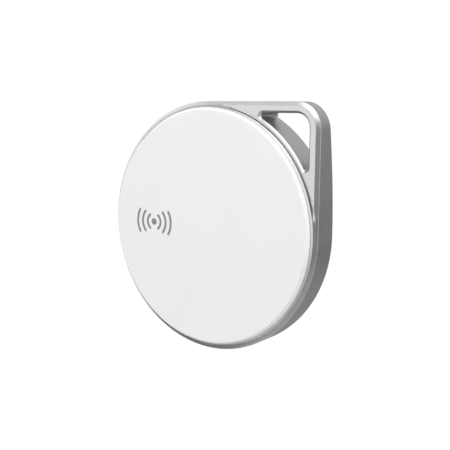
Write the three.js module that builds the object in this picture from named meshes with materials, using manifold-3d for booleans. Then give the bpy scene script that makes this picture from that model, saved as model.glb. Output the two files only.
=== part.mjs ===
// Bluetooth tracker tag: a round puck in a metal frame with a loop hole in its one square corner.
// Millimetres, +Z up. The disc's axis runs along Y, the button faces -Y and the battery door +Y.
// The model is drawn about the disc's centre, with y = 0 on the front face of the frame, and the
// exported group then moves it so that the origin is the middle of the loop hole.
import * as THREE from 'three';
import { mergeVertices } from 'three/addons/utils/BufferGeometryUtils.js';
import Module from 'manifold-3d';

const wasm = await Module();
wasm.setup();

// ---- Driving dimensions -------------------------------------------------------------------

const STEP_DEG = 5; // angle between two facets of a large round
const SEGMENTS = 360 / STEP_DEG;
const INNER_SEGMENTS = 48; // facets of a hidden round
const SMALL_SEGMENTS = 24; // facets of a small round
const AIR = 0.05; // running gap between neighbouring rounds

// Metal frame
const FRAME_R = 20;
const FRAME_BACK_Y = 5.4;
const CORNER_R = 4;
const CHAMFER_IN = 0.61;
const CHAMFER_DEEP = 0.4;
const BACK_CHAMFER_DEEP = 0.45;
const BACK_FLAT_R = 19.2; // the back is flat inside this radius and falls away outside it
const BACK_FALL = 0.26; // fall per millimetre of radius, so the lug is thinner at its corner
const BORE_R = 18;
const FRONT_LEDGE_Y = 1.1;
const REAR_LEDGE_Y = 4.4;
const REAR_SEAT_R = 18.55;
const GROOVE_OUT_R = 19.85;
const GROOVE_FLOOR_Y = 0.3;

// Loop hole
const HOLE_TOP = 18.28;
const HOLE_RIGHT = 18.14;
const HOLE_WEB_R = 20.1;
const HOLE_TIP_R = 0.45;
const HOLE_CORNER_R = 2.1;
const HOLE_BEVEL_IN = 0.35;
const HOLE_BEVEL_DEEP = 0.4;
const LOOP = new THREE.Vector3(16.1, 2.2, 16.1);

// Front cap and its ring
const BEZEL_R = 19.35;
const BEZEL_IN_R = 19.12;
const BEZEL_FRONT_Y = -0.3;
const BEZEL_LAND = 0.03;
const BEZEL_SEAT_Y = 0.8;
const BEZEL_FLANGE_R = 17.6;
const CAP_R = 19.05;
const CAP_FRONT_Y = -0.92;
const CAP_FACE_R = 18.7;
const CAP_EDGE_Y = -0.3;
const CAP_INNER_Y = -0.12;
const CAP_SKIRT_R = 18.35;
const CAP_SKIRT_Y = 0.45;
const HOOK_WIDTH = 3;
const BOSS_R = 0.65; // the boss that presses the switch, narrower than the hole in its cover

// Circuit board and switch
const PCB_R = 16.4;
const PCB_FRONT_Y = 1.25;
const PCB_BACK_Y = 1.85;
const SCREW_CIRCLE_R = 14.3;
const SCREW_DEG = [90, 210, 330];
const SCREW_R = 0.6;

// Piezo buzzer
const PIEZO_X = -9.3;
const PIEZO_R = 6;
const PIEZO_FRONT_Y = 0.6;
const PIEZO_BACK_Y = 0.75;

// Coin cell, CR2032
const CELL_R = 10;
const CELL_FRONT_Y = 2.1;
const CELL_BACK_Y = 5.3;

// Chassis
const CHASSIS_R = 17.9;
const CHASSIS_FRONT_Y = 1.9;
const CHASSIS_BACK_Y = 4.35;
const WEB_FRONT_Y = 3.6;
const WEB_BACK_Y = 4.2;
const POCKET_R = 10.25;
const POCKET_OUT_R = 11.3;
const CLIP_DEG = 155;
const CLIP_WIDTH = 3;

// Rear cover and battery door
const COVER_R = 18.5;
const COVER_BACK_Y = 6.35;
const COVER_EDGE_R = 0.6;
const COVER_SHELF_Y = 5.35;
const THROAT_R = 12.6;
const THROAT_FRONT_Y = 4.8;
const DOOR_SEAT_R = 13.5;
const DOOR_R = 13.4;
const DOOR_SKIRT_R = 11.65;
const DOOR_SKIRT_IN_R = 10.6;
const DOOR_FRONT_Y = 4.3;
const DOOR_RIM_Y = 5.75;
const DOOR_INNER_Y = 5.55;
const COIN_SLOT = new THREE.Vector3(13, 0.4, 1.8);
const LEAD = 3; // the bayonet's rise in millimetres a turn
const RAMP_Y = 4.97; // height of the ramp at the middle of the lug at rest
const RAMP_GAP = 0.06;
const BAYONET_DEG = [30, 150, 270];
const LEDGE_SPAN = [-13, 17];
const LUG_SPAN = [-11, 11];

// ---- Solids ---------------------------------------------------------------------------------

const radians = THREE.MathUtils.degToRad;

// A closed geometry as a manifold-3d solid. Triangles that a merged corner has flattened go.
function toSolid(geometry) {
  const bare = geometry.index ? geometry.toNonIndexed() : geometry.clone();
  bare.deleteAttribute('normal');
  bare.deleteAttribute('uv');
  const merged = mergeVertices(bare, 1e-4);
  const triVerts = [];
  for (let i = 0; i < merged.index.count; i += 3) {
    const [a, b, c] = [0, 1, 2].map((k) => merged.index.getX(i + k));
    if (a !== b && b !== c && c !== a) triVerts.push(a, b, c);
  }
  return new wasm.Manifold(new wasm.Mesh({
    numProp: 3,
    vertProperties: merged.attributes.position.array,
    triVerts: new Uint32Array(triVerts),
  }));
}

function toGeometry(solid) {
  const { vertProperties, triVerts } = solid.getMesh();
  const geometry = new THREE.BufferGeometry();
  geometry.setAttribute('position', new THREE.BufferAttribute(vertProperties, 3));
  geometry.setIndex(new THREE.BufferAttribute(triVerts, 1));
  geometry.computeVertexNormals();
  return geometry;
}

// A round about the disc's axis from [radius, y] corners, listed with +Y along the outside.
function turned(corners, segments = SEGMENTS) {
  const points = corners.map(([r, y]) => new THREE.Vector2(r, y));
  return toSolid(new THREE.LatheGeometry(points, segments));
}

function ring(inner, outer, y0, y1, segments = SEGMENTS) {
  const corners = [[inner, y0], [outer, y0], [outer, y1], [inner, y1], [inner, y0]];
  return turned(corners, segments);
}

function disc(radius, y0, y1, segments = SEGMENTS) {
  return turned([[0, y0], [radius, y0], [radius, y1], [0, y1]], segments);
}

// A small round along Y at (x, z).
function pin(radius, y0, y1, x, z, segments = SMALL_SEGMENTS) {
  return disc(radius, y0, y1, segments).translate([x, 0, z]);
}

// A box from y0 to y1 about (x, z), turned about Y by an angle counted from +X towards +Z.
function block(width, height, y0, y1, x, z, degrees = 0) {
  const geometry = new THREE.BoxGeometry(width, y1 - y0, height);
  geometry.translate(x, (y0 + y1) / 2, z);
  geometry.rotateY(-radians(degrees));
  return toSolid(geometry);
}

// Points of a quarter round from one angle to another, in the (radius, y) plane.
function quarter(r, y, radius, fromDeg, toDeg, steps) {
  return Array.from({ length: steps + 1 }, (_, i) => {
    const a = radians(fromDeg + ((toDeg - fromDeg) * i) / steps);
    return [r + radius * Math.cos(a), y + radius * Math.sin(a)];
  });
}

// A closed skin over rings of [x, y, z] points with equal counts. With closed = true the last
// ring joins the first one, otherwise the first and last rings are filled flat.
function skin(rings, closed) {
  const count = rings[0].length;
  const positions = rings.flat(2);
  const index = [];
  const last = closed ? rings.length : rings.length - 1;
  for (let k = 0; k < last; k++) {
    const low = k * count;
    const high = ((k + 1) % rings.length) * count;
    for (let i = 0; i < count; i++) {
      const j = (i + 1) % count;
      index.push(low + i, low + j, high + j, low + i, high + j, high + i);
    }
  }
  if (!closed) {
    const lid = rings[0].map(([x, , z]) => new THREE.Vector2(x, z));
    const top = (rings.length - 1) * count;
    for (const [a, b, c] of THREE.ShapeUtils.triangulateShape(lid, [])) {
      index.push(c, b, a, top + a, top + b, top + c);
    }
  }
  const geometry = new THREE.BufferGeometry();
  geometry.setAttribute('position', new THREE.Float32BufferAttribute(positions, 3));
  geometry.setIndex(index);
  return toSolid(geometry);
}

// ---- Metal frame ----------------------------------------------------------------------------

// Stations round the outline: a point on it and its inward direction, from +X towards +Z.
function outlineStations() {
  const centre = FRAME_R - CORNER_R;
  const cornerStart = THREE.MathUtils.radToDeg(Math.atan2(centre, FRAME_R));
  const stations = [];
  for (let deg = 0; deg < cornerStart; deg += STEP_DEG) {
    stations.push({ x: FRAME_R, z: FRAME_R * Math.tan(radians(deg)), nx: -1, nz: 0 });
  }
  const cornerSteps = 8;
  for (let i = 0; i <= cornerSteps; i++) {
    const a = (i / cornerSteps) * (Math.PI / 2);
    const [nx, nz] = [-Math.cos(a), -Math.sin(a)];
    stations.push({ x: centre - CORNER_R * nx, z: centre - CORNER_R * nz, nx, nz });
  }
  const topStart = Math.ceil((90 - cornerStart) / STEP_DEG) * STEP_DEG;
  for (let deg = topStart; deg < 90; deg += STEP_DEG) {
    stations.push({ x: FRAME_R / Math.tan(radians(deg)), z: FRAME_R, nx: 0, nz: -1 });
  }
  for (let deg = 90; deg < 360; deg += STEP_DEG) {
    const [nx, nz] = [-Math.cos(radians(deg)), -Math.sin(radians(deg))];
    stations.push({ x: -FRAME_R * nx, z: -FRAME_R * nz, nx, nz });
  }
  return stations;
}

// A channel parts the ring from the loop corner. It ramps up to the frame's chamfer at both ends.
function channelFloor(degrees) {
  const { smoothstep } = THREE.MathUtils;
  return GROOVE_FLOOR_Y * (smoothstep(degrees, 6, 14) - smoothstep(degrees, 76, 84));
}

// The frame's section at one station, as [x, y, z] points going round it.
function frameSection({ x, z, nx, nz }) {
  const reach = Math.hypot(x, z);
  const [ux, uz] = [x / reach, z / reach];
  const at = (r, y) => [r * ux, y, r * uz];
  const [ix, iz] = [x + CHAMFER_IN * nx, z + CHAMFER_IN * nz];
  const insetReach = Math.hypot(ix, iz);
  const back = (r) => FRAME_BACK_Y - BACK_FALL * Math.max(r - BACK_FLAT_R, 0);
  const onChamfer = (r) => {
    const fall = (CHAMFER_DEEP * (r - insetReach)) / (reach - insetReach);
    return Math.max(fall, 0);
  };
  const bezelSeatR = BEZEL_R + AIR;
  const channel = channelFloor(THREE.MathUtils.radToDeg(Math.atan2(z, x)));
  const edgeR = GROOVE_OUT_R + AIR;
  const frontEdge = insetReach > edgeR ? [ix, 0, iz] : at(edgeR, onChamfer(edgeR));
  return [
    at(bezelSeatR, channel),
    at(GROOVE_OUT_R, Math.max(channel, onChamfer(GROOVE_OUT_R))),
    at(GROOVE_OUT_R, onChamfer(GROOVE_OUT_R)),
    frontEdge,
    [x, CHAMFER_DEEP, z],
    [x, back(reach) - BACK_CHAMFER_DEEP, z],
    [ix, back(insetReach), iz],
    at(BACK_FLAT_R, FRAME_BACK_Y),
    at(REAR_SEAT_R, FRAME_BACK_Y),
    at(REAR_SEAT_R, REAR_LEDGE_Y),
    at(BORE_R, REAR_LEDGE_Y),
    at(BORE_R, FRONT_LEDGE_Y),
    at(bezelSeatR, FRONT_LEDGE_Y),
  ];
}

// The loop hole's outline grown by a margin: a square corner cut off by the round web.
function holeOutline(margin, y) {
  const [top, right] = [HOLE_TOP + margin, HOLE_RIGHT + margin];
  const [tip, corner] = [HOLE_TIP_R + margin, HOLE_CORNER_R + margin];
  const web = HOLE_WEB_R - margin;
  const reach = web + tip;
  const leftTip = [Math.sqrt(reach ** 2 - (top - tip) ** 2), top - tip];
  const lowTip = [right - tip, Math.sqrt(reach ** 2 - (right - tip) ** 2)];
  const leftDeg = THREE.MathUtils.radToDeg(Math.atan2(leftTip[1], leftTip[0]));
  const lowDeg = THREE.MathUtils.radToDeg(Math.atan2(lowTip[1], lowTip[0]));
  const arc = (x, z, radius, from, to, steps) => quarter(x, z, radius, from, to, steps);
  const outline = [
    ...arc(...lowTip, tip, lowDeg - 180, 0, 6),
    ...arc(right - corner, top - corner, corner, 0, 90, 8),
    ...arc(...leftTip, tip, 90, leftDeg + 180, 6),
    ...arc(0, 0, web, leftDeg, lowDeg, 8).slice(1, -1),
  ];
  return outline.map(([x, z]) => [x, y, z]);
}

function metalFrame() {
  const sections = outlineStations().map(frameSection);
  const rings = sections[0].map((_, k) => sections.map((section) => section[k]));
  const bar = skin(rings.reverse(), true);
  const slope = HOLE_BEVEL_IN / HOLE_BEVEL_DEEP;
  const overshoot = 1;
  const cutter = skin([
    holeOutline(HOLE_BEVEL_IN + slope * overshoot, -overshoot),
    holeOutline(0, HOLE_BEVEL_DEEP),
    holeOutline(0, FRAME_BACK_Y + overshoot),
  ].reverse(), false);
  return bar.subtract(cutter);
}

// ---- Front cap and its ring -------------------------------------------------------------------

// The metal ring round the cap. Its face slopes down to the front of the frame.
function bezelRing() {
  return turned([
    [BEZEL_FLANGE_R, BEZEL_SEAT_Y], [BEZEL_IN_R, BEZEL_SEAT_Y], [BEZEL_IN_R, BEZEL_FRONT_Y],
    [BEZEL_IN_R + BEZEL_LAND, BEZEL_FRONT_Y], [BEZEL_R, 0], [BEZEL_R, FRONT_LEDGE_Y],
    [BEZEL_FLANGE_R, FRONT_LEDGE_Y], [BEZEL_FLANGE_R, BEZEL_SEAT_Y],
  ]);
}

// Three snap hooks hang below the cap and catch under the bezel's flange.
function snapHook(degrees) {
  const stem = block(0.6, HOOK_WIDTH, CAP_INNER_Y - AIR, 1.45, 17.15, 0, degrees);
  const barb = block(0.7, HOOK_WIDTH, 1.15, 1.45, 17.5, 0, degrees);
  return stem.add(barb);
}

function frontCap() {
  const shell = turned([
    [0, CAP_FRONT_Y], [CAP_FACE_R, CAP_FRONT_Y], [CAP_R, CAP_EDGE_Y], [CAP_R, CAP_SKIRT_Y],
    [CAP_SKIRT_R, CAP_SKIRT_Y], [CAP_SKIRT_R, CAP_INNER_Y], [0, CAP_INNER_Y],
  ]);
  const boss = disc(BOSS_R, CAP_INNER_Y - AIR, 0.25, SMALL_SEGMENTS);
  return [0, 120, 240].map(snapHook).reduce((cap, hook) => cap.add(hook), shell.add(boss));
}

// ---- Circuit board ----------------------------------------------------------------------------

const screwPlaces = SCREW_DEG.map((deg) => [
  SCREW_CIRCLE_R * Math.cos(radians(deg)), SCREW_CIRCLE_R * Math.sin(radians(deg)),
]);

function pcb() {
  const holes = screwPlaces.map(([x, z]) => pin(SCREW_R + 0.1, 0, 3, x, z));
  return holes.reduce((board, hole) => board.subtract(hole),
    disc(PCB_R, PCB_FRONT_Y, PCB_BACK_Y, INNER_SEGMENTS));
}

function pcbScrew([x, z]) {
  const head = turned([[0, 0.8], [0.9, 0.8], [1.1, 0.95], [1.1, PCB_FRONT_Y], [SCREW_R, PCB_FRONT_Y],
    [SCREW_R, 3.4], [0, 3.6]], SMALL_SEGMENTS);
  const cross = block(1.1, 0.25, 0.5, 1.05, 0, 0).add(block(0.25, 1.1, 0.5, 1.05, 0, 0));
  return head.subtract(cross).translate([x, 0, z]);
}

function switchBody() {
  return block(3, 3, 0.55, PCB_FRONT_Y, 0, 0).subtract(pin(1.15, 0, 1.17, 0, 0));
}

function switchCover() {
  return block(3, 3, 0.42, 0.55, 0, 0).subtract(pin(0.8, 0, 1, 0, 0));
}

function switchPlunger() {
  return turned([[0, 0.27], [0.7, 0.27], [0.7, 0.6], [1, 0.6], [1, 0.8], [0, 0.8]], SMALL_SEGMENTS);
}

// ---- Coin cell, its contacts and the chassis --------------------------------------------------

function cellCan() {
  const wall = 0.25;
  const shoulder = 0.2;
  return turned([
    [CELL_R - wall, CELL_FRONT_Y + wall], [CELL_R, CELL_FRONT_Y + wall],
    [CELL_R, CELL_BACK_Y - shoulder], [CELL_R - shoulder, CELL_BACK_Y], [0, CELL_BACK_Y],
    [0, CELL_BACK_Y - wall], [CELL_R - wall, CELL_BACK_Y - wall],
    [CELL_R - wall, CELL_FRONT_Y + wall],
  ], INNER_SEGMENTS);
}

function innerChassis() {
  const tray = turned([
    [POCKET_R, CHASSIS_FRONT_Y], [POCKET_OUT_R, CHASSIS_FRONT_Y], [POCKET_OUT_R, WEB_FRONT_Y],
    [CHASSIS_R - 0.9, WEB_FRONT_Y], [CHASSIS_R - 0.9, CHASSIS_FRONT_Y],
    [CHASSIS_R, CHASSIS_FRONT_Y], [CHASSIS_R, CHASSIS_BACK_Y], [CHASSIS_R - 0.9, CHASSIS_BACK_Y],
    [CHASSIS_R - 0.9, WEB_BACK_Y], [POCKET_R, WEB_BACK_Y], [POCKET_R, CHASSIS_FRONT_Y],
  ], INNER_SEGMENTS);
  const notch = block(2, CLIP_WIDTH + 0.6, 1, 5, POCKET_R + 0.4, 0, CLIP_DEG);
  const bosses = screwPlaces.map(([x, z]) => pin(1.5, CHASSIS_FRONT_Y, WEB_BACK_Y, x, z));
  const pilots = screwPlaces.map(([x, z]) => pin(SCREW_R + AIR, 1, 3.8, x, z));
  const bossed = bosses.reduce((solid, boss) => solid.add(boss), tray.subtract(notch));
  return pilots.reduce((solid, pilot) => solid.subtract(pilot), bossed);
}

// A spring strip whose upright leaf bears on the can and whose foot is soldered to the board.
function positiveContact() {
  const leaf = block(0.2, CLIP_WIDTH, PCB_BACK_Y + 0.02, 3.9, CELL_R + 0.16, 0, CLIP_DEG);
  const foot = block(2, CLIP_WIDTH, PCB_BACK_Y + 0.02, PCB_BACK_Y + 0.2, CELL_R + 1.1, 0, CLIP_DEG);
  return leaf.add(foot);
}

// Three spring fingers on a round hub, under the middle of the cell.
function negativeContact() {
  const [y0, y1] = [PCB_BACK_Y + 0.02, CELL_FRONT_Y - 0.03];
  const fingers = [90, 210, 330].map((deg) => block(5, 1.2, y0, y1, 3.5, 0, deg));
  return fingers.reduce((hub, finger) => hub.add(finger), disc(1.6, y0, y1, SMALL_SEGMENTS));
}

// ---- Rear cover and battery door --------------------------------------------------------------

// A block of a ring between two radii and two angles. low and high give y at an angle.
function sector(inner, outer, [fromDeg, toDeg], low, high) {
  const steps = 4;
  const sections = Array.from({ length: steps + 1 }, (_, i) => {
    const deg = fromDeg + ((toDeg - fromDeg) * i) / steps;
    const at = (r, y) => [r * Math.cos(radians(deg)), y, -r * Math.sin(radians(deg))];
    return [at(inner, low(deg)), at(outer, low(deg)), at(outer, high(deg)), at(inner, high(deg))];
  });
  const index = [0, 1, 2, 0, 2, 3];
  for (let k = 0; k < steps; k++) {
    for (let i = 0; i < 4; i++) {
      const [a, b] = [k * 4 + i, k * 4 + ((i + 1) % 4)];
      index.push(a, b + 4, b, a, a + 4, b + 4);
    }
  }
  const end = steps * 4;
  index.push(end, end + 2, end + 1, end, end + 3, end + 2);
  const geometry = new THREE.BufferGeometry();
  geometry.setAttribute('position', new THREE.Float32BufferAttribute(sections.flat(2), 3));
  geometry.setIndex(index);
  return toSolid(geometry);
}

// Angles here run the way that the door unscrews, so the ramp rises with the angle.
const ramp = (deg) => RAMP_Y + (LEAD * deg) / 360;

function bayonetRing(span, inner, outer, low, high) {
  const one = sector(inner, outer, span, low, high);
  return BAYONET_DEG.map((deg) => one.rotate([0, deg, 0]));
}

function rearCover() {
  const edge = quarter(COVER_R - COVER_EDGE_R, COVER_BACK_Y - COVER_EDGE_R, COVER_EDGE_R, 0, 90, 4);
  const shell = turned([
    [17.3, REAR_LEDGE_Y + AIR], [COVER_R, REAR_LEDGE_Y + AIR], ...edge,
    [DOOR_SEAT_R, COVER_BACK_Y], [DOOR_SEAT_R, COVER_SHELF_Y], [THROAT_R, COVER_SHELF_Y],
    [THROAT_R, THROAT_FRONT_Y], [13.9, THROAT_FRONT_Y], [14.3, COVER_SHELF_Y],
    [17.3, COVER_SHELF_Y], [17.3, REAR_LEDGE_Y + AIR],
  ]);
  const inner = DOOR_SKIRT_R + 0.1;
  const ledges = bayonetRing(LEDGE_SPAN, inner, THROAT_R + 0.1, ramp, () => COVER_SHELF_Y);
  return ledges.reduce((cover, ledge) => cover.add(ledge), shell);
}

function batteryDoor() {
  const lip = 0.15;
  const shell = turned([
    [DOOR_SKIRT_IN_R, DOOR_FRONT_Y], [DOOR_SKIRT_R, DOOR_FRONT_Y], [DOOR_SKIRT_R, DOOR_RIM_Y],
    [DOOR_R, DOOR_RIM_Y], [DOOR_R, COVER_BACK_Y - lip], [DOOR_R - lip, COVER_BACK_Y],
    [0, COVER_BACK_Y], [0, DOOR_INNER_Y], [DOOR_SKIRT_IN_R, DOOR_INNER_Y],
    [DOOR_SKIRT_IN_R, DOOR_FRONT_Y],
  ]);
  const lugTop = (deg) => ramp(deg) - RAMP_GAP;
  const lugs = bayonetRing(LUG_SPAN, DOOR_SKIRT_R - 0.1, THROAT_R - 0.1, () => DOOR_FRONT_Y, lugTop);
  const door = lugs.reduce((solid, lug) => solid.add(lug), shell);
  const slotFloor = COVER_BACK_Y - COIN_SLOT.y;
  return door.subtract(block(COIN_SLOT.x, COIN_SLOT.z, slotFloor, 8, 0, 0));
}

// ---- Assembly ---------------------------------------------------------------------------------

const silver = { color: 0xc9c9cb, roughness: 0.32, metalness: 1 };
const white = { color: 0xebe9ea, roughness: 0.4, metalness: 0 };
const pale = { color: 0xdcdcde, roughness: 0.5, metalness: 0 };
const steel = { color: 0xb4b6b8, roughness: 0.3, metalness: 1 };
const black = { color: 0x1b1b1d, roughness: 0.55, metalness: 0 };
const foam = { color: 0x4a4a4c, roughness: 0.95, metalness: 0 };
const brass = { color: 0xc8a04a, roughness: 0.35, metalness: 1 };
const boardGreen = { color: 0x14532d, roughness: 0.45, metalness: 0 };
const ceramic = { color: 0xd9d2c0, roughness: 0.6, metalness: 0 };
const tan = { color: 0x8a6a48, roughness: 0.6, metalness: 0 };

const group = new THREE.Group();
group.position.copy(LOOP).negate();

function addPart(name, solid, look) {
  const mesh = new THREE.Mesh(toGeometry(solid), new THREE.MeshStandardMaterial(look));
  mesh.name = name;
  group.add(mesh);
}

addPart('metal_frame', metalFrame(), silver);
addPart('bezel_ring', bezelRing(), silver);
addPart('front_cap', frontCap(), white);
addPart('dust_seal', ring(18.42, 19, CAP_SKIRT_Y + 0.02, BEZEL_SEAT_Y - 0.02, INNER_SEGMENTS), foam);

addPart('pcb', pcb(), boardGreen);
screwPlaces.forEach((place, i) => addPart(`pcb_screw_${i + 1}`, pcbScrew(place), steel));
addPart('switch_body', switchBody(), black);
addPart('switch_cover', switchCover(), steel);
addPart('switch_plunger', switchPlunger(), black);
addPart('ble_soc', block(5, 5, 0.45, PCB_FRONT_Y, 9, -3), black);
addPart('crystal_main', block(2, 1.6, 0.75, PCB_FRONT_Y, 4.6, -3), steel);
addPart('crystal_clock', block(3.2, 1.5, 0.6, PCB_FRONT_Y, 9, -7.6), steel);
addPart('chip_antenna', block(7, 2, 0.35, PCB_FRONT_Y, 8, 10), pale);
addPart('power_inductor', block(2.5, 2, 0.4, PCB_FRONT_Y, 3.4, -7.8), black);
const capacitorPlaces = [[5, 1], [7, 1.6], [9, 1.6], [11, 1.6]];
capacitorPlaces.forEach(([x, z], i) => {
  addPart(`capacitor_${i + 1}`, block(1, 0.5, 0.75, PCB_FRONT_Y, x, z), tan);
});

const piezoRing = (inner, outer, y0, y1) => ring(inner, outer, y0, y1, 36).translate([PIEZO_X, 0, 0]);
addPart('piezo_plate', pin(PIEZO_R, PIEZO_FRONT_Y, PIEZO_BACK_Y, PIEZO_X, 0, 36), brass);
addPart('piezo_ceramic', pin(4.3, PIEZO_BACK_Y, 0.93, PIEZO_X, 0, 36), ceramic);
addPart('piezo_seat', piezoRing(5.35, PIEZO_R, PIEZO_BACK_Y, PCB_FRONT_Y), black);
addPart('piezo_contact_1', pin(0.4, 0.93, PCB_FRONT_Y, PIEZO_X, 0, 12), brass);
addPart('piezo_contact_2', pin(0.3, PIEZO_BACK_Y, PCB_FRONT_Y, PIEZO_X, 4.82, 12), brass);

addPart('inner_chassis', innerChassis(), pale);
addPart('positive_contact', positiveContact(), steel);
addPart('negative_contact', negativeContact(), steel);
addPart('cell_can', cellCan(), steel);
addPart('cell_gasket', ring(8.85, 9.65, 2.35, 5, INNER_SEGMENTS), black);
addPart('cell_cup', disc(8.8, CELL_FRONT_Y, 5, INNER_SEGMENTS), steel);

addPart('rear_cover', rearCover(), white);
addPart('battery_door', batteryDoor(), white);
addPart('door_gasket', ring(12.7, 13.3, COVER_SHELF_Y + 0.02, DOOR_RIM_Y, INNER_SEGMENTS), foam);
addPart('door_pad', disc(3.5, CELL_BACK_Y + 0.02, DOOR_INNER_Y, SMALL_SEGMENTS), foam);

export default group;
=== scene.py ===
"""The looks of the tracker tag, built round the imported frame.

Shapes are written in millimetres about the disc's centre, with y = 0 on the front face of the
metal frame, and finish_piece() moves them into the row frame, in metres.
"""
import math

import bmesh
import bpy
from mathutils import Matrix, Vector


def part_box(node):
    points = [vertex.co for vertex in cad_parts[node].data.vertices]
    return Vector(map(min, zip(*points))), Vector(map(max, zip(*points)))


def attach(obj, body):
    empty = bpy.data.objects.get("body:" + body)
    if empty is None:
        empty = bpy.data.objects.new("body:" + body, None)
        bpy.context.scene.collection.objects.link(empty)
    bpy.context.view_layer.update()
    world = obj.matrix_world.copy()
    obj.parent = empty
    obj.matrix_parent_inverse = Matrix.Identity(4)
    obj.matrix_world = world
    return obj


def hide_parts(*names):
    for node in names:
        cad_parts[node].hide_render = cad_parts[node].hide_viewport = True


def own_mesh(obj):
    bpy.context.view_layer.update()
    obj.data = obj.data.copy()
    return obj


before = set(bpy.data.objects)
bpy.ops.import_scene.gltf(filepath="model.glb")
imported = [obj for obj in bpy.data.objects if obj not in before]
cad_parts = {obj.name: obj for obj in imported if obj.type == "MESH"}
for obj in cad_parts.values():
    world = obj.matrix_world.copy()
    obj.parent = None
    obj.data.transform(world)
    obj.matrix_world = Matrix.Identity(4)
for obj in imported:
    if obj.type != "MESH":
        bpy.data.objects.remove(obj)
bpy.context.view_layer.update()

MM = 0.001
FINE = 240  # steps round a large circle that shows
COARSE = 96  # steps round a circle that hardly shows
SHARP_ANGLE = math.radians(32)
FLAT_ANGLE = math.radians(0.03)  # faces closer than this to one plane are joined after a cut
SAME_POINT = 2e-5  # points closer than this are one

# Metal frame
FRAME_R = 20
CORNER_R = 4
CHAMFER_IN = 0.61
CHAMFER_DEEP = 0.4
BACK_CHAMFER_DEEP = 0.45
FRAME_BACK_Y = 5.4
BACK_FLAT_R = 19.2
BACK_FALL = 0.26
BORE_R = 18
FRONT_LEDGE_Y = 1.1
REAR_LEDGE_Y = 4.4
REAR_SEAT_R = 18.55
BEZEL_SEAT_R = 19.37
GROOVE_OUT_R = 19.85
GROOVE_FLOOR_Y = 0.3
CHANNEL_OPENS = (6, 14)  # the channel beside the loop corner deepens between these angles
CHANNEL_CLOSES = (76, 84)
METAL_EDGE = 0.045  # setback of the small round on a metal edge

# Loop hole
HOLE_TOP = 18.28
HOLE_RIGHT = 18.14
HOLE_WEB_R = 20.1
HOLE_TIP_R = 0.45
HOLE_CORNER_R = 2.1
HOLE_BEVEL_IN = 0.35
HOLE_BEVEL_DEEP = 0.4
HOLE_MOUTH = 0.4275  # how far the cutter spreads in front of the face

# Front cap, the ring round it and the seal behind it
CAP_R = 19.05
CAP_FRONT_Y = -0.92
CAP_FACE_R = 18.7
CAP_EDGE_Y = -0.3
CAP_INNER_Y = -0.12
CAP_SKIRT_R = 18.35
CAP_SKIRT_Y = 0.45
BOSS_R = 0.65
BOSS_TIP_Y = 0.25
HOOK_DEG = (0, 120, 240)
HOOK_WIDTH = 3
HOOK_BACK_Y = 1.45
HOOK_STEM = (0.6, CAP_INNER_Y - 0.05, 17.15)  # depth, front y, radius
HOOK_BARB = (0.7, 1.15, 17.5)
BEZEL_R = 19.35
BEZEL_IN_R = 19.09
BEZEL_FRONT_Y = -0.3
BEZEL_LAND = 0.04
BEZEL_SEAT_Y = 0.8
BEZEL_FLANGE_R = 17.6
SEAL_IN_R = 18.42
SEAL_OUT_R = 19
SEAL_FRONT_Y = 0.47
SEAL_BACK_Y = 0.78

# Rear cover and battery door
COVER_R = 18.5
COVER_BACK_Y = 6.35
COVER_EDGE_R = 0.6
COVER_SHELF_Y = 5.35
COVER_WALL_R = 17.3
THROAT_R = 12.6
THROAT_FRONT_Y = 4.8
DOOR_SEAT_R = 13.5
DOOR_R = 13.4
DOOR_SKIRT_R = 11.65
DOOR_SKIRT_IN_R = 10.6
DOOR_FRONT_Y = 4.3
DOOR_RIM_Y = 5.75
DOOR_INNER_Y = 5.55
COIN_SLOT_LENGTH = 13
COIN_SLOT_WIDTH = 1.8
COIN_SLOT_DEEP = 0.4
LEAD = 3
RAMP_Y = 4.97
RAMP_GAP = 0.06
MARK_R = 15.2  # the two door marks: dimples in the cover
MARK_DEG = (90, 30)
MARK_SIZE_R = 0.45
MARK_DEEP = 0.12
BAYONET_DEG = (30, 150, 270)
LEDGE_SPAN = (-13, 17)
LUG_SPAN = (-11, 11)


def disc_centre():
    """The disc's axis at the frame's front face, in the row frame, in metres."""
    low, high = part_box("front_cap")
    middle = (low + high) / 2
    return Vector((middle.x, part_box("metal_frame")[0].y, middle.z))


CENTRE = disc_centre()
TO_ROW = Matrix.Translation(CENTRE) @ Matrix.Scale(MM, 4)


# ---- Mesh helpers ---------------------------------------------------------------------------


def polar(radius, degrees, y=0.0):
    """A point at an angle counted from +X towards +Z."""
    angle = math.radians(degrees)
    return Vector((radius * math.cos(angle), y, radius * math.sin(angle)))


def soften(corners, steps=4):
    """The points of a path of (point, setback) corners, with a round where there is a setback."""
    points = []
    for i, (corner, setback) in enumerate(corners):
        if not setback:
            points.append(corner)
            continue
        arms = []
        for other in (corners[i - 1][0], corners[(i + 1) % len(corners)][0]):
            arm = other - corner
            arms.append(corner + arm.normalized() * min(setback, 0.45 * arm.length))
        for k in range(steps + 1):
            t = k / steps
            points.append((1 - t) ** 2 * arms[0] + 2 * t * (1 - t) * corner + t * t * arms[1])
    return points


def weave(bm, rows, wrap_rows=False, wrap_columns=False):
    """Quads over a grid of points. Either direction may close on itself."""
    grid = [[bm.verts.new(point) for point in row] for row in rows]
    count = len(grid[0])
    for i in range(len(grid) if wrap_rows else len(grid) - 1):
        near, far = grid[i], grid[(i + 1) % len(grid)]
        for j in range(count if wrap_columns else count - 1):
            k = (j + 1) % count
            bm.faces.new((near[j], near[k], far[k], far[j]))
    return grid


def lathe(bm, path, steps=FINE, closed=True):
    """A round about the disc's axis from a path of (radius, y) points."""
    turns = [360 * i / steps for i in range(steps)]
    rows = [[polar(p.x, turn, p.y) for p in path] for turn in turns]
    weave(bm, rows, wrap_rows=True, wrap_columns=closed)


def tube(bm, rings):
    """A closed form over rings of points, filled flat at both ends."""
    grid = weave(bm, rings, wrap_columns=True)
    bm.faces.new(grid[0])
    bm.faces.new(grid[-1])


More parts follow.
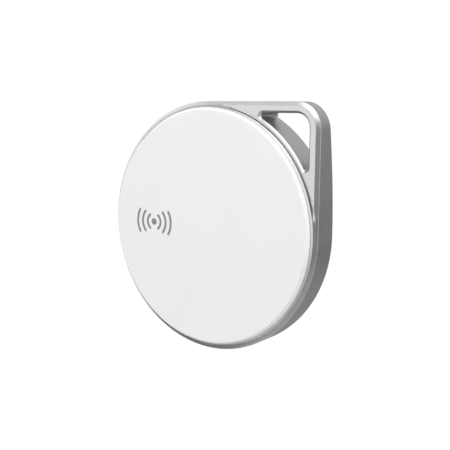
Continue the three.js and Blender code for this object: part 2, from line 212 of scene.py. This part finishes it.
def corner(radius, y, setback=0.0):
    return Vector((radius, y)), setback


def arc(centre, radius, start, end, steps):
    """Points in the (x, z) plane, or the (radius, y) plane, from one angle to another."""
    turns = [math.radians(start + (end - start) * i / steps) for i in range(steps + 1)]
    return [Vector((centre[0] + radius * math.cos(a), centre[1] + radius * math.sin(a)))
            for a in turns]


def tidy(bm):
    bmesh.ops.remove_doubles(bm, verts=bm.verts, dist=SAME_POINT)
    bmesh.ops.recalc_face_normals(bm, faces=bm.faces)
    return bm


def scratch_object(bm):
    mesh = bpy.data.meshes.new("scratch")
    tidy(bm).to_mesh(mesh)
    bm.free()
    thing = bpy.data.objects.new("scratch", mesh)
    bpy.context.scene.collection.objects.link(thing)
    return thing


def carved(bm, cutter):
    """A new bmesh: bm with cutter taken away. Both are freed."""
    target, tool = scratch_object(bm), scratch_object(cutter)
    modifier = target.modifiers.new("carve", "BOOLEAN")
    modifier.operation = "DIFFERENCE"
    modifier.solver = "EXACT"
    modifier.object = tool
    bpy.context.view_layer.update()
    result = bmesh.new()
    result.from_object(target, bpy.context.evaluated_depsgraph_get())
    for thing in (target, tool):
        mesh = thing.data
        bpy.data.objects.remove(thing)
        bpy.data.meshes.remove(mesh)
    bmesh.ops.remove_doubles(result, verts=result.verts, dist=SAME_POINT)
    bmesh.ops.dissolve_limit(result, angle_limit=FLAT_ANGLE, use_dissolve_boundaries=False,
                             verts=result.verts, edges=result.edges)
    return result


def mark_edges(bm, narrow=0.06):
    """Marks the points that lie only on the narrow faces of a rounded edge, where wear shows."""
    layer = bm.verts.layers.float.new("wear")
    for vert in bm.verts:
        widths = [f.calc_area() / max(e.calc_length() for e in f.edges) for f in vert.link_faces]
        vert[layer] = 1.0 if widths and max(widths) < narrow else 0.0


def finish_piece(name, bm, body, material, replaces=()):
    """Turns a bmesh in millimetres into a piece that rides on a CAD body."""
    tidy(bm)
    mark_edges(bm)
    bm.transform(TO_ROW)
    mesh = bpy.data.meshes.new(name)
    bm.to_mesh(mesh)
    bm.free()
    mesh.shade_smooth()
    mesh.set_sharp_from_angle(angle=SHARP_ANGLE)
    mesh.materials.append(material)
    piece = bpy.data.objects.new(name, mesh)
    bpy.context.scene.collection.objects.link(piece)
    normals = piece.modifiers.new("even_normals", "WEIGHTED_NORMAL")
    normals.keep_sharp = True
    normals.weight = 100
    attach(piece, body)
    if replaces:
        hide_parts(*replaces)
    return piece


# ---- Materials ------------------------------------------------------------------------------


def new_material(name, **values):
    """A Principled material with constants set on the shader's own sockets."""
    material = bpy.data.materials.new(name)
    material.use_nodes = True
    shader = material.node_tree.nodes["Principled BSDF"]
    for socket, value in values.items():
        shader.inputs[socket.replace("_", " ")].default_value = value
    return material, material.node_tree, shader


def noise(tree, size_mm, detail=2.0, stretch=(1, 1, 1)):
    """Cloudy noise with features of about that size, fixed to the piece."""
    place = tree.nodes.new("ShaderNodeTexCoord")
    scale = tree.nodes.new("ShaderNodeMapping")
    scale.inputs["Scale"].default_value = stretch
    texture = tree.nodes.new("ShaderNodeTexNoise")
    texture.inputs["Scale"].default_value = 1 / (size_mm * MM)
    texture.inputs["Detail"].default_value = detail
    tree.links.new(place.outputs["Object"], scale.inputs["Vector"])
    tree.links.new(scale.outputs["Vector"], texture.inputs["Vector"])
    return texture.outputs["Fac"]


def remap(tree, source, low, high, from_low=0.3, from_high=0.7):
    node = tree.nodes.new("ShaderNodeMapRange")
    node.inputs["From Min"].default_value = from_low
    node.inputs["From Max"].default_value = from_high
    node.inputs["To Min"].default_value = low
    node.inputs["To Max"].default_value = high
    tree.links.new(source, node.inputs["Value"])
    return node.outputs["Result"]


def combine(tree, operation, first, second):
    node = tree.nodes.new("ShaderNodeMath")
    node.operation = operation
    for socket, value in zip(node.inputs, (first, second)):
        if isinstance(value, (int, float)):
            socket.default_value = value
        else:
            tree.links.new(value, socket)
    return node.outputs["Value"]


def blend_colours(tree, factor, first, second):
    """A colour between two, where each is three numbers or another colour output."""
    node = tree.nodes.new("ShaderNodeMix")
    node.data_type = "RGBA"
    tree.links.new(factor, node.inputs["Factor"])
    for socket, value in ((node.inputs[6], first), (node.inputs[7], second)):
        if isinstance(value, tuple):
            socket.default_value = (*value, 1)
        else:
            tree.links.new(value, socket)
    return node.outputs[2]


def relief(tree, shader, *layers):
    """Bump from (height, depth in micrometres) layers."""
    normal = None
    for height, depth in layers:
        bump = tree.nodes.new("ShaderNodeBump")
        bump.inputs["Distance"].default_value = depth * 1e-6
        tree.links.new(height, bump.inputs["Height"])
        if normal:
            tree.links.new(normal, bump.inputs["Normal"])
        normal = bump.outputs["Normal"]
    tree.links.new(normal, shader.inputs["Normal"])


def wear_mask(tree):
    """The rubbed stretches along the edges that mark_edges() marked."""
    attribute = tree.nodes.new("ShaderNodeAttribute")
    attribute.attribute_name = "wear"
    patches = remap(tree, noise(tree, 3.5, 2), 0, 1, 0.4, 0.7)
    return combine(tree, "MULTIPLY", attribute.outputs["Fac"], patches)


def anodised_metal():
    """Bead-blasted, anodised aluminium: fine grain, faint handling marks, rubbed edges."""
    material, tree, shader = new_material("anodised_aluminium", Metallic=1.0)
    clouds = noise(tree, 7, 3)
    grain = noise(tree, 0.09, 2)
    smudges = noise(tree, 3.5, 4)
    tone = blend_colours(tree, remap(tree, clouds, 0, 1), (0.46, 0.465, 0.47), (0.5, 0.503, 0.505))
    speckled = blend_colours(tree, remap(tree, grain, 0, 0.35), tone, (0.6, 0.6, 0.6))
    worn = blend_colours(tree, wear_mask(tree), speckled, (0.6, 0.6, 0.6))
    tree.links.new(worn, shader.inputs["Base Color"])
    rough = combine(tree, "ADD", remap(tree, smudges, 0.27, 0.33), remap(tree, grain, -0.02, 0.03))
    tree.links.new(rough, shader.inputs["Roughness"])
    relief(tree, shader, (grain, 3.0), (noise(tree, 0.25, 2), 2.0))
    return material


def moulded_plastic(name, light, dark, roughness, grain_mm, depth):
    """Moulded plastic with the fine spark texture of its tool and a slight unevenness of tone."""
    material, tree, shader = new_material(name, IOR=1.5)
    clouds = noise(tree, 9, 3)
    grain = noise(tree, grain_mm, 2)
    tone = blend_colours(tree, remap(tree, clouds, 0, 1), dark, light)
    rubbed = blend_colours(tree, wear_mask(tree), tone, tuple(0.94 * c for c in light))
    tree.links.new(rubbed, shader.inputs["Base Color"])
    spread = combine(tree, "ADD", remap(tree, noise(tree, 4, 4), roughness - 0.04, roughness + 0.04),
                     remap(tree, grain, -0.02, 0.02))
    tree.links.new(spread, shader.inputs["Roughness"])
    relief(tree, shader, (grain, depth), (noise(tree, 5, 1), 2 * depth))
    return material


def plain_metal(name, light, dark, roughness, stretch=(1, 1, 1)):
    """Rolled or plated metal with faint drawn lines."""
    material, tree, shader = new_material(name, Metallic=1.0)
    lines = noise(tree, 0.12, 3, stretch)
    tone = blend_colours(tree, remap(tree, noise(tree, 3, 3), 0, 1), dark, light)
    tree.links.new(tone, shader.inputs["Base Color"])
    rough = remap(tree, lines, roughness - 0.06, roughness + 0.06)
    tree.links.new(rough, shader.inputs["Roughness"])
    relief(tree, shader, (lines, 3.0))
    return material


def board_material():
    """Solder mask over copper tracks on a glass-epoxy board."""
    material, tree, shader = new_material("solder_mask", IOR=1.55, Coat_Weight=0.4)
    place = tree.nodes.new("ShaderNodeTexCoord")
    tracks = tree.nodes.new("ShaderNodeTexBrick")
    tracks.inputs["Scale"].default_value = 420
    tracks.inputs["Mortar Size"].default_value = 0.02
    tree.links.new(place.outputs["Object"], tracks.inputs["Vector"])
    weave_grain = noise(tree, 0.3, 2)
    tone = blend_colours(tree, weave_grain, (0.02, 0.12, 0.055), (0.035, 0.18, 0.085))
    traced = blend_colours(tree, tracks.outputs["Fac"], tone, (0.06, 0.26, 0.12))
    tree.links.new(traced, shader.inputs["Base Color"])
    tree.links.new(remap(tree, weave_grain, 0.35, 0.5), shader.inputs["Roughness"])
    relief(tree, shader, (tracks.outputs["Fac"], 15.0), (weave_grain, 6.0))
    return material


def soft_foam():
    """Black closed-cell foam."""
    material, tree, shader = new_material("foam", IOR=1.45)
    cells = tree.nodes.new("ShaderNodeTexVoronoi")
    cells.inputs["Scale"].default_value = 1 / (0.16 * MM)
    place = tree.nodes.new("ShaderNodeTexCoord")
    tree.links.new(place.outputs["Object"], cells.inputs["Vector"])
    tone = blend_colours(tree, cells.outputs["Distance"], (0.02, 0.02, 0.021), (0.085, 0.085, 0.088))
    tree.links.new(tone, shader.inputs["Base Color"])
    tree.links.new(remap(tree, cells.outputs["Distance"], 0.8, 0.98, 0, 1), shader.inputs["Roughness"])
    relief(tree, shader, (cells.outputs["Distance"], 40.0))
    return material


def printing_ink():
    """Grey pad-printed ink with a slightly patchy film."""
    material, tree, shader = new_material("grey_ink", IOR=1.48)
    film = noise(tree, 0.35, 3)
    tone = blend_colours(tree, remap(tree, film, 0, 1), (0.2, 0.2, 0.205), (0.25, 0.25, 0.255))
    tree.links.new(tone, shader.inputs["Base Color"])
    tree.links.new(remap(tree, film, 0.42, 0.55), shader.inputs["Roughness"])
    relief(tree, shader, (noise(tree, 0.06, 2), 2.0))
    return material


# ---- Metal frame ------------------------------------------------------------------------------


def outline_stations():
    """Points on the frame's outline with their outward directions, from +X towards +Z."""
    middle = FRAME_R - CORNER_R
    corner_start = math.degrees(math.atan2(middle, FRAME_R))
    step = 360 / FINE
    stations = []
    turn = 0.0
    while turn < corner_start - 0.3:
        stations.append((polar(FRAME_R / math.cos(math.radians(turn)), turn), Vector((1, 0, 0))))
        turn += step
    corner_steps = 28
    for i in range(corner_steps + 1):
        out = polar(1, 90 * i / corner_steps)
        stations.append((Vector((middle, 0, middle)) + out * CORNER_R, out))
    turn = step * math.ceil((90 - corner_start + 0.3) / step)
    while turn < 90:
        stations.append((polar(FRAME_R / math.sin(math.radians(turn)), turn), Vector((0, 0, 1))))
        turn += step
    while turn < 360:
        stations.append((polar(FRAME_R, turn), polar(1, turn)))
        turn += step
    return stations


def back_y(reach):
    return FRAME_BACK_Y - BACK_FALL * max(reach - BACK_FLAT_R, 0)


def ease(value, start, end):
    """0 before start, 1 after end, and a smooth change between them."""
    t = min(max((value - start) / (end - start), 0), 1)
    return t * t * (3 - 2 * t)


def channel_floor(degrees):
    """The depth of the channel beside the loop corner, at an angle counted from +X towards +Z."""
    return GROOVE_FLOOR_Y * (ease(degrees, *CHANNEL_OPENS) - ease(degrees, *CHANNEL_CLOSES))


def frame_section(point, out):
    """The frame's section at one station, with its edges softened."""
    reach = point.length
    across = point.normalized()
    inset = point - out * CHAMFER_IN
    floor = channel_floor(math.degrees(math.atan2(point.z, point.x)))
    edge_r = GROOVE_OUT_R + 0.05

    def at(radius, y):
        return across * radius + Vector((0, y, 0))

    def on_chamfer(radius):
        return max(CHAMFER_DEEP * (radius - inset.length) / (reach - inset.length), 0)

    runs_out = inset.length <= edge_r
    front_edge = at(edge_r, on_chamfer(edge_r)) if runs_out else inset
    front_setback = 1e-4 if runs_out else METAL_EDGE
    return soften([
        (at(BEZEL_SEAT_R, floor), 0.03),
        (at(GROOVE_OUT_R, max(floor, on_chamfer(GROOVE_OUT_R))), 0.02),
        (at(GROOVE_OUT_R, on_chamfer(GROOVE_OUT_R)), 0.03),
        (front_edge, front_setback),
        (point + Vector((0, CHAMFER_DEEP, 0)), METAL_EDGE),
        (point + Vector((0, back_y(reach) - BACK_CHAMFER_DEEP, 0)), 1.5 * METAL_EDGE),
        (inset + Vector((0, back_y(inset.length), 0)), 1.5 * METAL_EDGE),
        (at(BACK_FLAT_R, FRAME_BACK_Y), 0.05),
        (at(REAR_SEAT_R, FRAME_BACK_Y), 0.06),
        (at(REAR_SEAT_R, REAR_LEDGE_Y), 0.0),
        (at(BORE_R, REAR_LEDGE_Y), 0.0),
        (at(BORE_R, FRONT_LEDGE_Y), 0.0),
        (at(BEZEL_SEAT_R, FRONT_LEDGE_Y), 0.0),
    ])


def hole_outline(margin):
    """The loop hole's outline in (x, z), grown by a margin."""
    top, right = HOLE_TOP + margin, HOLE_RIGHT + margin
    tip, bend = HOLE_TIP_R + margin, HOLE_CORNER_R + margin
    web = HOLE_WEB_R - margin
    reach = web + tip
    left_tip = Vector((math.sqrt(reach ** 2 - (top - tip) ** 2), top - tip))
    low_tip = Vector((right - tip, math.sqrt(reach ** 2 - (right - tip) ** 2)))
    left_turn = math.degrees(math.atan2(left_tip.y, left_tip.x))
    low_turn = math.degrees(math.atan2(low_tip.y, low_tip.x))
    return [
        *arc(low_tip, tip, low_turn - 180, 0, 14),
        *arc((right - bend, top - bend), bend, 0, 90, 24),
        *arc(left_tip, tip, 90, left_turn + 180, 14),
        *arc((0, 0), web, left_turn, low_turn, 40)[1:-1],
    ]


def loop_hole():
    """The cutter for the loop hole: a flat bevel in front, small rounds at its other edges."""
    front = soften([
        corner(HOLE_BEVEL_IN + 0.5, -0.001),
        corner(HOLE_BEVEL_IN, 0, METAL_EDGE),
        corner(0, HOLE_BEVEL_DEEP, METAL_EDGE),
        corner(0, HOLE_BEVEL_DEEP + 1),
    ])[1:-1]
    rings = [[Vector((p.x, -1, p.y)) for p in hole_outline(HOLE_MOUTH)]]
    for step in front:
        rings.append([Vector((p.x, step.y, p.y)) for p in hole_outline(step.x)])
    for margin, lift in ((0, -0.1), (0.006, -0.06), (0.028, -0.025), (0.062, -0.006), (0.1, 0.001)):
        rings.append([Vector((p.x, back_y(p.length) + lift, p.y)) for p in hole_outline(margin)])
    rings.append([Vector((p.x, FRAME_BACK_Y + 1, p.y)) for p in hole_outline(0.11)])
    cutter = bmesh.new()
    tube(cutter, rings)
    return cutter


def build_frame(material):
    bm = bmesh.new()
    sections = [frame_section(point, out) for point, out in outline_stations()]
    weave(bm, sections, wrap_rows=True, wrap_columns=True)
    return finish_piece("frame_shell", carved(bm, loop_hole()), "housing", material,
                        ["metal_frame"])


# ---- Front cap and its ring -------------------------------------------------------------------


def build_bezel(material):
    bm = bmesh.new()
    lathe(bm, soften([
        corner(BEZEL_FLANGE_R, BEZEL_SEAT_Y),
        corner(BEZEL_IN_R, BEZEL_SEAT_Y),
        corner(BEZEL_IN_R, BEZEL_FRONT_Y, 0.02),
        corner(BEZEL_IN_R + BEZEL_LAND, BEZEL_FRONT_Y, 0.02),
        corner(BEZEL_R, 0, 0.03),
        corner(BEZEL_R, FRONT_LEDGE_Y),
        corner(BEZEL_FLANGE_R, FRONT_LEDGE_Y),
    ]))
    return finish_piece("bezel_trim", bm, "housing", material, ["bezel_ring"])


def snap_hook(bm, degrees):
    """A stem with a barb, both with softened edges."""
    for depth, front_y, radius in (HOOK_STEM, HOOK_BARB):
        place = Matrix.Rotation(-math.radians(degrees), 4, "Y")
        place = place @ Matrix.Translation((radius, (front_y + HOOK_BACK_Y) / 2, 0))
        place = place @ Matrix.Diagonal((depth, HOOK_BACK_Y - front_y, HOOK_WIDTH, 1))
        made = bmesh.ops.create_cube(bm, size=1, matrix=place)
        edges = {edge for vert in made["verts"] for edge in vert.link_edges}
        bmesh.ops.bevel(bm, geom=list(edges), offset=0.05, segments=2, affect="EDGES")


def build_cap(material):
    bm = bmesh.new()
    lathe(bm, soften([
        corner(0, CAP_FRONT_Y),
        corner(6, CAP_FRONT_Y),
        corner(12, CAP_FRONT_Y),
        corner(18, CAP_FRONT_Y),
        corner(CAP_FACE_R, CAP_FRONT_Y, 0.12),
        corner(CAP_R, CAP_EDGE_Y, 0.05),
        corner(CAP_R, CAP_SKIRT_Y, 0.08),
        corner(CAP_SKIRT_R, CAP_SKIRT_Y, 0.08),
        corner(CAP_SKIRT_R, CAP_INNER_Y, 0.05),
        corner(BOSS_R, CAP_INNER_Y, 0.1),
        corner(BOSS_R, BOSS_TIP_Y, 0.1),
        corner(0, BOSS_TIP_Y),
    ]), closed=False)
    for degrees in HOOK_DEG:
        snap_hook(bm, degrees)
    return finish_piece("cap_shell", bm, "cap", material, ["front_cap"])


def build_seal(material):
    """The foam ring under the cap's skirt, on a mesh of its own."""
    bm = bmesh.new()
    lathe(bm, soften([
        corner(SEAL_IN_R, SEAL_BACK_Y, 0.05),
        corner(SEAL_IN_R, SEAL_FRONT_Y, 0.05),
        corner(SEAL_OUT_R, SEAL_FRONT_Y, 0.05),
        corner(SEAL_OUT_R, SEAL_BACK_Y, 0.05),
    ]), COARSE)
    seal = finish_piece("seal_foam", bm, "housing", material, ["dust_seal"])
    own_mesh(seal)


# ---- Printed sign -----------------------------------------------------------------------------

SIGN_CENTRE = (-10.5, 0.05)
INK_HEIGHT = 0.012
DOT_R = 0.55
WAVE_WIDTH = 0.42
WAVES = ((1.4, 52), (2.5, 41), (3.6, 31))  # radius, half the angle that the wave spans


def plate(bm, outline, y0, y1):
    tube(bm, [[Vector((p.x, y, p.y)) for p in outline] for y in (y0, y1)])


def stroke(centre, radius, width, start, end, steps=20):
    """The outline of a bent bar with round ends."""
    half = width / 2
    turn = math.radians
    head = (centre[0] + radius * math.cos(turn(end)), centre[1] + radius * math.sin(turn(end)))
    tail = (centre[0] + radius * math.cos(turn(start)), centre[1] + radius * math.sin(turn(start)))
    return [
        *arc(centre, radius + half, start, end, steps),
        *arc(head, half, end, end + 180, 8)[1:-1],
        *arc(centre, radius - half, end, start, steps),
        *arc(tail, half, start + 180, start + 360, 8)[1:-1],
    ]


def build_sign(material):
    """A plain radio sign: a dot between three pairs of waves."""
    bm = bmesh.new()
    y0, y1 = CAP_FRONT_Y - INK_HEIGHT, CAP_FRONT_Y + INK_HEIGHT
    plate(bm, arc(SIGN_CENTRE, DOT_R, 0, 360, 32)[:-1], y0, y1)
    for radius, spread in WAVES:
        for side in (0, 180):
            wave = stroke(SIGN_CENTRE, radius, WAVE_WIDTH, side - spread, side + spread)
            plate(bm, wave, y0, y1)
    return finish_piece("cap_sign", bm, "cap", material)


# ---- Rear cover and battery door --------------------------------------------------------------


def sector(bm, inner, outer, span, middle, low, high, steps=16):
    """A block of a ring. low and high give y at an angle from the middle, against X towards Z."""
    rings = []
    for i in range(steps + 1):
        turn = span[0] + (span[1] - span[0]) * i / steps
        corners = ((inner, low(turn)), (outer, low(turn)), (outer, high(turn)), (inner, high(turn)))
        rings.append([polar(radius, -(middle + turn), y) for radius, y in corners])
    tube(bm, rings)


def ramp(degrees):
    """The height of a bayonet ledge's ramp at an angle from its middle."""
    return RAMP_Y + LEAD * degrees / 360


def build_cover(material):
    bm = bmesh.new()
    foot_y = REAR_LEDGE_Y + 0.05
    edge = arc((COVER_R - COVER_EDGE_R, COVER_BACK_Y - COVER_EDGE_R), COVER_EDGE_R, 0, 90, 10)
    inside = soften([
        corner(16, COVER_BACK_Y),
        corner(DOOR_SEAT_R, COVER_BACK_Y, 0.12),
        corner(DOOR_SEAT_R, COVER_SHELF_Y, 0.03),
        corner(THROAT_R, COVER_SHELF_Y, 0.08),
        corner(THROAT_R, THROAT_FRONT_Y, 0.06),
        corner(13.9, THROAT_FRONT_Y),
        corner(14.3, COVER_SHELF_Y),
        corner(COVER_WALL_R, COVER_SHELF_Y),
        corner(COVER_WALL_R, foot_y, 0.06),
        corner(COVER_R, foot_y, 0.06),
        corner(COVER_R, 5),
    ])
    lathe(bm, edge + inside[:-1])
    for middle in BAYONET_DEG:
        sector(bm, DOOR_SKIRT_R + 0.1, THROAT_R + 0.1, LEDGE_SPAN, middle, ramp,
               lambda turn: COVER_SHELF_Y)
    cutter = bmesh.new()
    for degrees in MARK_DEG:
        spot = polar(MARK_R, degrees)
        dimple(cutter, arc((spot.x, spot.z), MARK_SIZE_R, 0, 360, 24)[:-1], COVER_BACK_Y, MARK_DEEP)
    return finish_piece("cover_shell", carved(bm, cutter), "housing", material,
                        ["rear_cover"])


def dimple(bm, outline, surface_y, depth):
    """A cutter for a shallow recess that opens towards +Y."""
    plate(bm, outline, surface_y - depth, surface_y + 1)


def coin_slot(margin):
    """The coin slot's outline in (x, z), grown by a margin."""
    radius = COIN_SLOT_WIDTH / 2
    run = COIN_SLOT_LENGTH / 2 - radius
    return [
        *arc((run, 0), radius + margin, -90, 90, 16),
        *arc((-run, 0), radius + margin, 90, 270, 16),
    ]


def slot_cutter(bm):
    """The coin slot with a softened brim and a rounded floor."""
    floor_y = COVER_BACK_Y - COIN_SLOT_DEEP
    steps = soften([
        corner(-0.4, floor_y),
        corner(0, floor_y, 0.1),
        corner(0, COVER_BACK_Y, 0.12),
        corner(0.5, COVER_BACK_Y + 0.001),
    ])[1:-1]
    rings = [[Vector((p.x, step.y, p.y)) for p in coin_slot(step.x)] for step in steps]
    rings.append([Vector((p.x, COVER_BACK_Y + 1, p.y)) for p in coin_slot(0.14)])
    tube(bm, rings)


def build_door(material):
    bm = bmesh.new()
    lathe(bm, soften([
        corner(0, DOOR_INNER_Y),
        corner(DOOR_SKIRT_IN_R, DOOR_INNER_Y, 0.1),
        corner(DOOR_SKIRT_IN_R, DOOR_FRONT_Y, 0.06),
        corner(DOOR_SKIRT_R, DOOR_FRONT_Y, 0.1),
        corner(DOOR_SKIRT_R, DOOR_RIM_Y, 0.05),
        corner(DOOR_R, DOOR_RIM_Y, 0.05),
        corner(DOOR_R, COVER_BACK_Y, 0.15),
        corner(0, COVER_BACK_Y),
    ]), closed=False)
    for middle in BAYONET_DEG:
        sector(bm, DOOR_SKIRT_R - 0.1, THROAT_R - 0.1, LUG_SPAN, middle,
               lambda turn: DOOR_FRONT_Y, lambda turn: ramp(turn) - RAMP_GAP)
    cutter = bmesh.new()
    slot_cutter(cutter)
    return finish_piece("door_shell", carved(bm, cutter), "door", material,
                        ["battery_door"])


# ---- Finishes of the CAD parts that stay ------------------------------------------------------


def dress(material, *names):
    """Gives CAD parts their finish."""
    for name in names:
        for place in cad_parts[name].material_slots:
            place.material = material


def dress_inside(foam):
    steel = plain_metal("bright_steel", (0.74, 0.75, 0.76), (0.62, 0.63, 0.65), 0.3, (1, 1, 8))
    dress(steel, "pcb_screw_1", "pcb_screw_2", "pcb_screw_3", "switch_cover", "crystal_main",
          "crystal_clock", "positive_contact", "negative_contact", "cell_can", "cell_cup")
    brass = plain_metal("brass", (0.8, 0.63, 0.3), (0.7, 0.53, 0.24), 0.33)
    dress(brass, "piezo_plate", "piezo_contact_1", "piezo_contact_2")
    black = moulded_plastic("black_plastic", (0.04, 0.04, 0.042), (0.025, 0.025, 0.027), 0.5, 0.1, 4)
    dress(black, "switch_body", "switch_plunger", "ble_soc", "power_inductor", "piezo_seat",
          "cell_gasket")
    pale = moulded_plastic("pale_plastic", (0.8, 0.8, 0.81), (0.74, 0.74, 0.75), 0.5, 0.12, 4)
    dress(pale, "inner_chassis", "chip_antenna")
    ceramic = moulded_plastic("ceramic", (0.78, 0.75, 0.68), (0.7, 0.67, 0.6), 0.6, 0.08, 3)
    dress(ceramic, "piezo_ceramic")
    tan = moulded_plastic("capacitor_body", (0.46, 0.33, 0.21), (0.38, 0.27, 0.17), 0.55, 0.06, 2)
    dress(tan, "capacitor_1", "capacitor_2", "capacitor_3", "capacitor_4")
    dress(board_material(), "pcb")
    dress(foam, "door_gasket", "door_pad")


# ---- Camera, light and floor ------------------------------------------------------------------

CAMERA_AZIMUTH = 36
CAMERA_ELEVATION = 8.7
CAMERA_ROLL = 0.5
CAMERA_DISTANCE = 120.8
CAMERA_LENS = 61.3
CAMERA_TARGET = Vector((3.5, 0, 0.7))
SENSOR_WIDTH = 36

SKY_BASE = 0.25
SKY_LOBES = (
    # azimuth, elevation, full inside, gone outside, strength
    (0, 90, 40, 110, 0.5),  # dome overhead
    (0, 75, 15, 35, 1.2),  # strip above
    (-36, -9, 10, 35, 1.15),  # panel that the flat metal mirrors to the camera
    (-80, 15, 20, 45, 0.8),  # left
    (90, 10, 15, 40, 1.1),  # right
    (0, -40, 15, 35, 0.3),  # low in front
    (80, -40, 15, 40, 0.6),  # low on the right
    (180, -40, 15, 35, 0.1),  # low behind
)
BACKDROP_R = 1200
BACKDROP_GLOW = 1.02
FLOOR_R = 250
FLOOR_DROP = 600


def heading(azimuth, elevation):
    """The direction out to a viewer. Azimuth 0 stands on the -Y side, 90 on the +X side."""
    a, e = math.radians(azimuth), math.radians(elevation)
    return Vector((math.sin(a) * math.cos(e), -math.cos(a) * math.cos(e), math.sin(e)))


def add_camera():
    data = bpy.data.cameras.new("camera")
    data.lens = CAMERA_LENS
    data.sensor_width = SENSOR_WIDTH
    data.clip_start = 0.005
    data.clip_end = 20
    camera = bpy.data.objects.new("camera", data)
    bpy.context.scene.collection.objects.link(camera)
    out = heading(CAMERA_AZIMUTH, CAMERA_ELEVATION)
    turn = out.to_track_quat("Z", "Y").to_matrix().to_4x4()
    roll = Matrix.Rotation(math.radians(CAMERA_ROLL), 4, "Z")
    stand = CENTRE + (CAMERA_TARGET + out * CAMERA_DISTANCE) * MM
    camera.matrix_world = Matrix.Translation(stand) @ turn @ roll
    bpy.context.scene.camera = camera


def softbox(name, azimuth, elevation, distance, size, radiance):
    """A square soft light that faces the disc, given by how bright its face is."""
    data = bpy.data.lights.new(name, "AREA")
    data.shape = "SQUARE"
    data.size = size
    data.energy = radiance * math.pi * size ** 2
    lamp = bpy.data.objects.new(name, data)
    bpy.context.scene.collection.objects.link(lamp)
    out = heading(azimuth, elevation)
    lamp.location = CENTRE + out * distance
    lamp.rotation_mode = "QUATERNION"
    lamp.rotation_quaternion = out.to_track_quat("Z", "Y")


def sky_lobe(tree, direction, azimuth, elevation, inner, outer, strength):
    """A soft patch of the surroundings, full inside one angle and gone outside the other."""
    dot = tree.nodes.new("ShaderNodeVectorMath")
    dot.operation = "DOT_PRODUCT"
    dot.inputs[1].default_value = heading(azimuth, elevation)
    tree.links.new(direction, dot.inputs[0])
    fade = tree.nodes.new("ShaderNodeMapRange")
    fade.interpolation_type = "SMOOTHSTEP"
    fade.inputs["From Min"].default_value = math.cos(math.radians(outer))
    fade.inputs["From Max"].default_value = math.cos(math.radians(inner))
    fade.inputs["To Max"].default_value = strength
    tree.links.new(dot.outputs["Value"], fade.inputs["Value"])
    return fade.outputs["Result"]


def add_surroundings():
    """A pale, even studio with soft patches of light in it."""
    world = bpy.data.worlds.new("studio")
    world.use_nodes = True
    tree = world.node_tree
    place = tree.nodes.new("ShaderNodeTexCoord")
    direction = place.outputs["Generated"]
    total = SKY_BASE
    for lobe in SKY_LOBES:
        total = combine(tree, "ADD", sky_lobe(tree, direction, *lobe), total)
    tree.links.new(total, tree.nodes["Background"].inputs["Strength"])
    tree.nodes["Background"].inputs["Color"].default_value = (1, 1, 1, 1)
    bpy.context.scene.world = world


def add_backdrop():
    """A plain white sweep that only the camera sees, so that the tag keeps its own soft light."""
    bm = bmesh.new()
    bmesh.ops.create_icosphere(bm, subdivisions=4, radius=BACKDROP_R * MM)
    mesh = bpy.data.meshes.new("backdrop")
    bm.to_mesh(mesh)
    bm.free()
    backdrop = bpy.data.objects.new("backdrop", mesh)
    backdrop.location = CENTRE
    bpy.context.scene.collection.objects.link(backdrop)
    glow, _, _ = new_material("white_backdrop", Base_Color=(0, 0, 0, 1), Roughness=1,
                              Specular_IOR_Level=0, Emission_Color=(1, 1, 1, 1),
                              Emission_Strength=BACKDROP_GLOW)
    mesh.materials.append(glow)
    backdrop.visible_diffuse = False
    backdrop.visible_glossy = False
    backdrop.visible_transmission = False
    backdrop.visible_volume_scatter = False
    backdrop.visible_shadow = False


def add_floor():
    """A pale floor well below the hanging tag."""
    bm = bmesh.new()
    bmesh.ops.create_circle(bm, cap_ends=True, radius=FLOOR_R * MM, segments=COARSE)
    mesh = bpy.data.meshes.new("floor")
    bm.to_mesh(mesh)
    bm.free()
    floor = bpy.data.objects.new("floor", mesh)
    floor.location = CENTRE + Vector((0, 0, -FLOOR_DROP * MM))
    bpy.context.scene.collection.objects.link(floor)
    material, tree, shader = new_material("pale_floor", Specular_IOR_Level=0.2)
    tone = blend_colours(tree, noise(tree, 60, 3), (0.78, 0.78, 0.78), (0.84, 0.84, 0.84))
    tree.links.new(tone, shader.inputs["Base Color"])
    tree.links.new(remap(tree, noise(tree, 8, 2), 0.7, 0.85), shader.inputs["Roughness"])
    mesh.materials.append(material)


def add_studio():
    add_camera()
    add_surroundings()
    add_backdrop()
    add_floor()
    softbox("key_softbox", azimuth=40, elevation=50, distance=0.3, size=0.27, radiance=1.7)
    bpy.context.scene.view_settings.view_transform = "Standard"


# ---- Assembly ---------------------------------------------------------------------------------


def build():
    add_studio()
    metal = anodised_metal()
    satin = moulded_plastic("satin_white", (0.83, 0.822, 0.826), (0.815, 0.808, 0.812), 0.42, 0.07, 2)
    textured = moulded_plastic("textured_white", (0.82, 0.813, 0.817), (0.8, 0.793, 0.797), 0.5,
                               0.14, 9)
    build_frame(metal)
    build_bezel(metal)
    build_cap(satin)
    build_sign(printing_ink())
    build_cover(textured)
    build_door(textured)
    foam = soft_foam()
    build_seal(foam)
    dress_inside(foam)


build()
